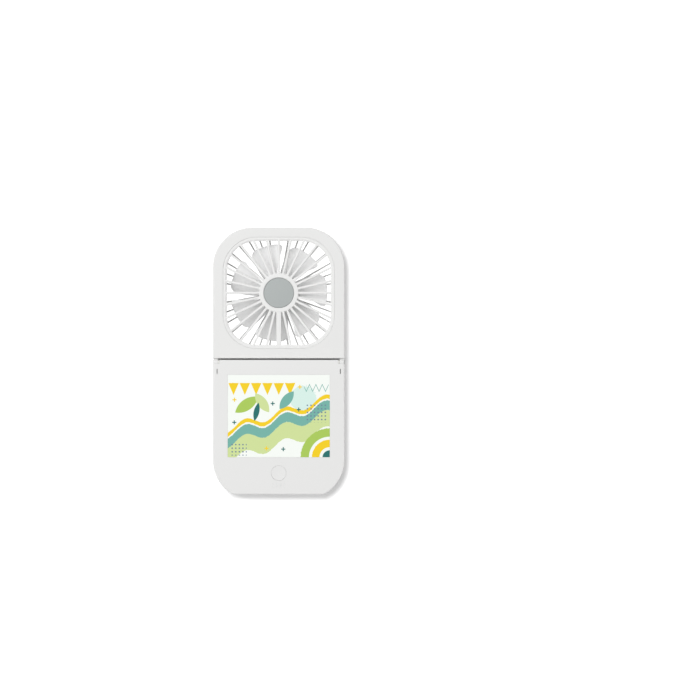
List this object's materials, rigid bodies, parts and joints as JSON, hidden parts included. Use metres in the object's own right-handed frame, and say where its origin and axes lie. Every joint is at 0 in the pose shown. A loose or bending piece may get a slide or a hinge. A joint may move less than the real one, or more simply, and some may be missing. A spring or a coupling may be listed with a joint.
{
  "type": "foldable desk fan",
  "caption": "Flat pocket fan with a square ribbed fan head hinged to a battery base of the same width; the head folds up and over the base to stand on a desk.",
  "frame": {"origin": "under the middle of the open fan, on the surface that it lies on", "axes": "+Y to the top of the fan head, +Z out of the front, +X to the right seen from the front"},
  "size_m": [0.07, 0.1418, 0.022],
  "materials": {
    "white_shell": "white moulded plastic with a fine satin texture",
    "white_grille": "white moulded plastic, satin",
    "white_blade": "white moulded plastic, smooth",
    "grey_cap": "grey satin plastic",
    "printed_film": "white film with a colour print",
    "clear_guide": "frosted clear plastic",
    "steel": "plain steel",
    "white_nylon": "natural white nylon",
    "copper": "wound copper on a steel core",
    "black_plastic": "black moulded plastic",
    "green_board": "green solder mask on glass laminate",
    "cell_foil": "dull silver pouch foil",
    "grey_foam": "closed-cell foam",
    "red_wire": "red wire insulation",
    "black_wire": "black wire insulation",
    "white_wire": "white wire insulation",
    "led_lens": "clear resin over a pale phosphor"
  },
  "bodies": {
    "base": {"base_front_cover": "white_shell", "base_rear_cover": "white_shell", "print_film": "printed_film", "hinge_pin_left": "steel", "hinge_pin_right": "steel", "hinge_washer_left": "white_nylon", "hinge_washer_right": "white_nylon", "circuit_board": "green_board", "usb_socket": "steel", "switch_body": "black_plastic", "light_guide": "clear_guide", "battery_cell": "cell_foil", "battery_foam": "grey_foam", "battery_guard_board": "green_board", "battery_lead_red": "red_wire", "battery_lead_black": "black_wire", "motor_lead_base": "white_wire", "base_screw_1": "steel", "base_screw_2": "steel", "base_screw_3": "steel", "base_screw_4": "steel", "control_chip": "black_plastic", "charge_inductor": "black_plastic", "led_1": "led_lens", "led_2": "led_lens", "led_3": "led_lens", "led_4": "led_lens"},
    "head": {"head_front_shell": "white_shell", "head_rear_shell": "white_shell", "front_grille": "white_grille", "rear_grille": "white_grille", "hub_cap": "grey_cap", "motor_can": "steel", "motor_end_cap": "black_plastic", "motor_lead_head": "white_wire", "head_screw_1": "steel", "head_screw_2": "steel", "head_screw_3": "steel", "head_screw_4": "steel"},
    "rotor": {"impeller": "white_blade", "motor_rotor": "copper", "motor_shaft": "steel"},
    "button": {"power_button": "white_shell", "switch_plunger": "black_plastic"}
  },
  "joints": [
    {"name": "head_fold", "type": "hinge", "parent": "base", "child": "head", "pos_m": [0, -0.0009, 0.0206], "axis": [1, 0, 0], "range_deg": [0, 180]},
    {"name": "impeller_spin", "type": "hinge", "parent": "head", "child": "rotor", "pos_m": [0, 0.03615, 0.01], "axis": [0, 0, 1], "continuous": true},
    {"name": "button_press", "type": "slide", "parent": "base", "child": "button", "axis": [0, 0, -1], "range_m": [0, 0.0006], "stiffness_N_per_m": 1500, "springref_m": -0.0003}
  ]
}
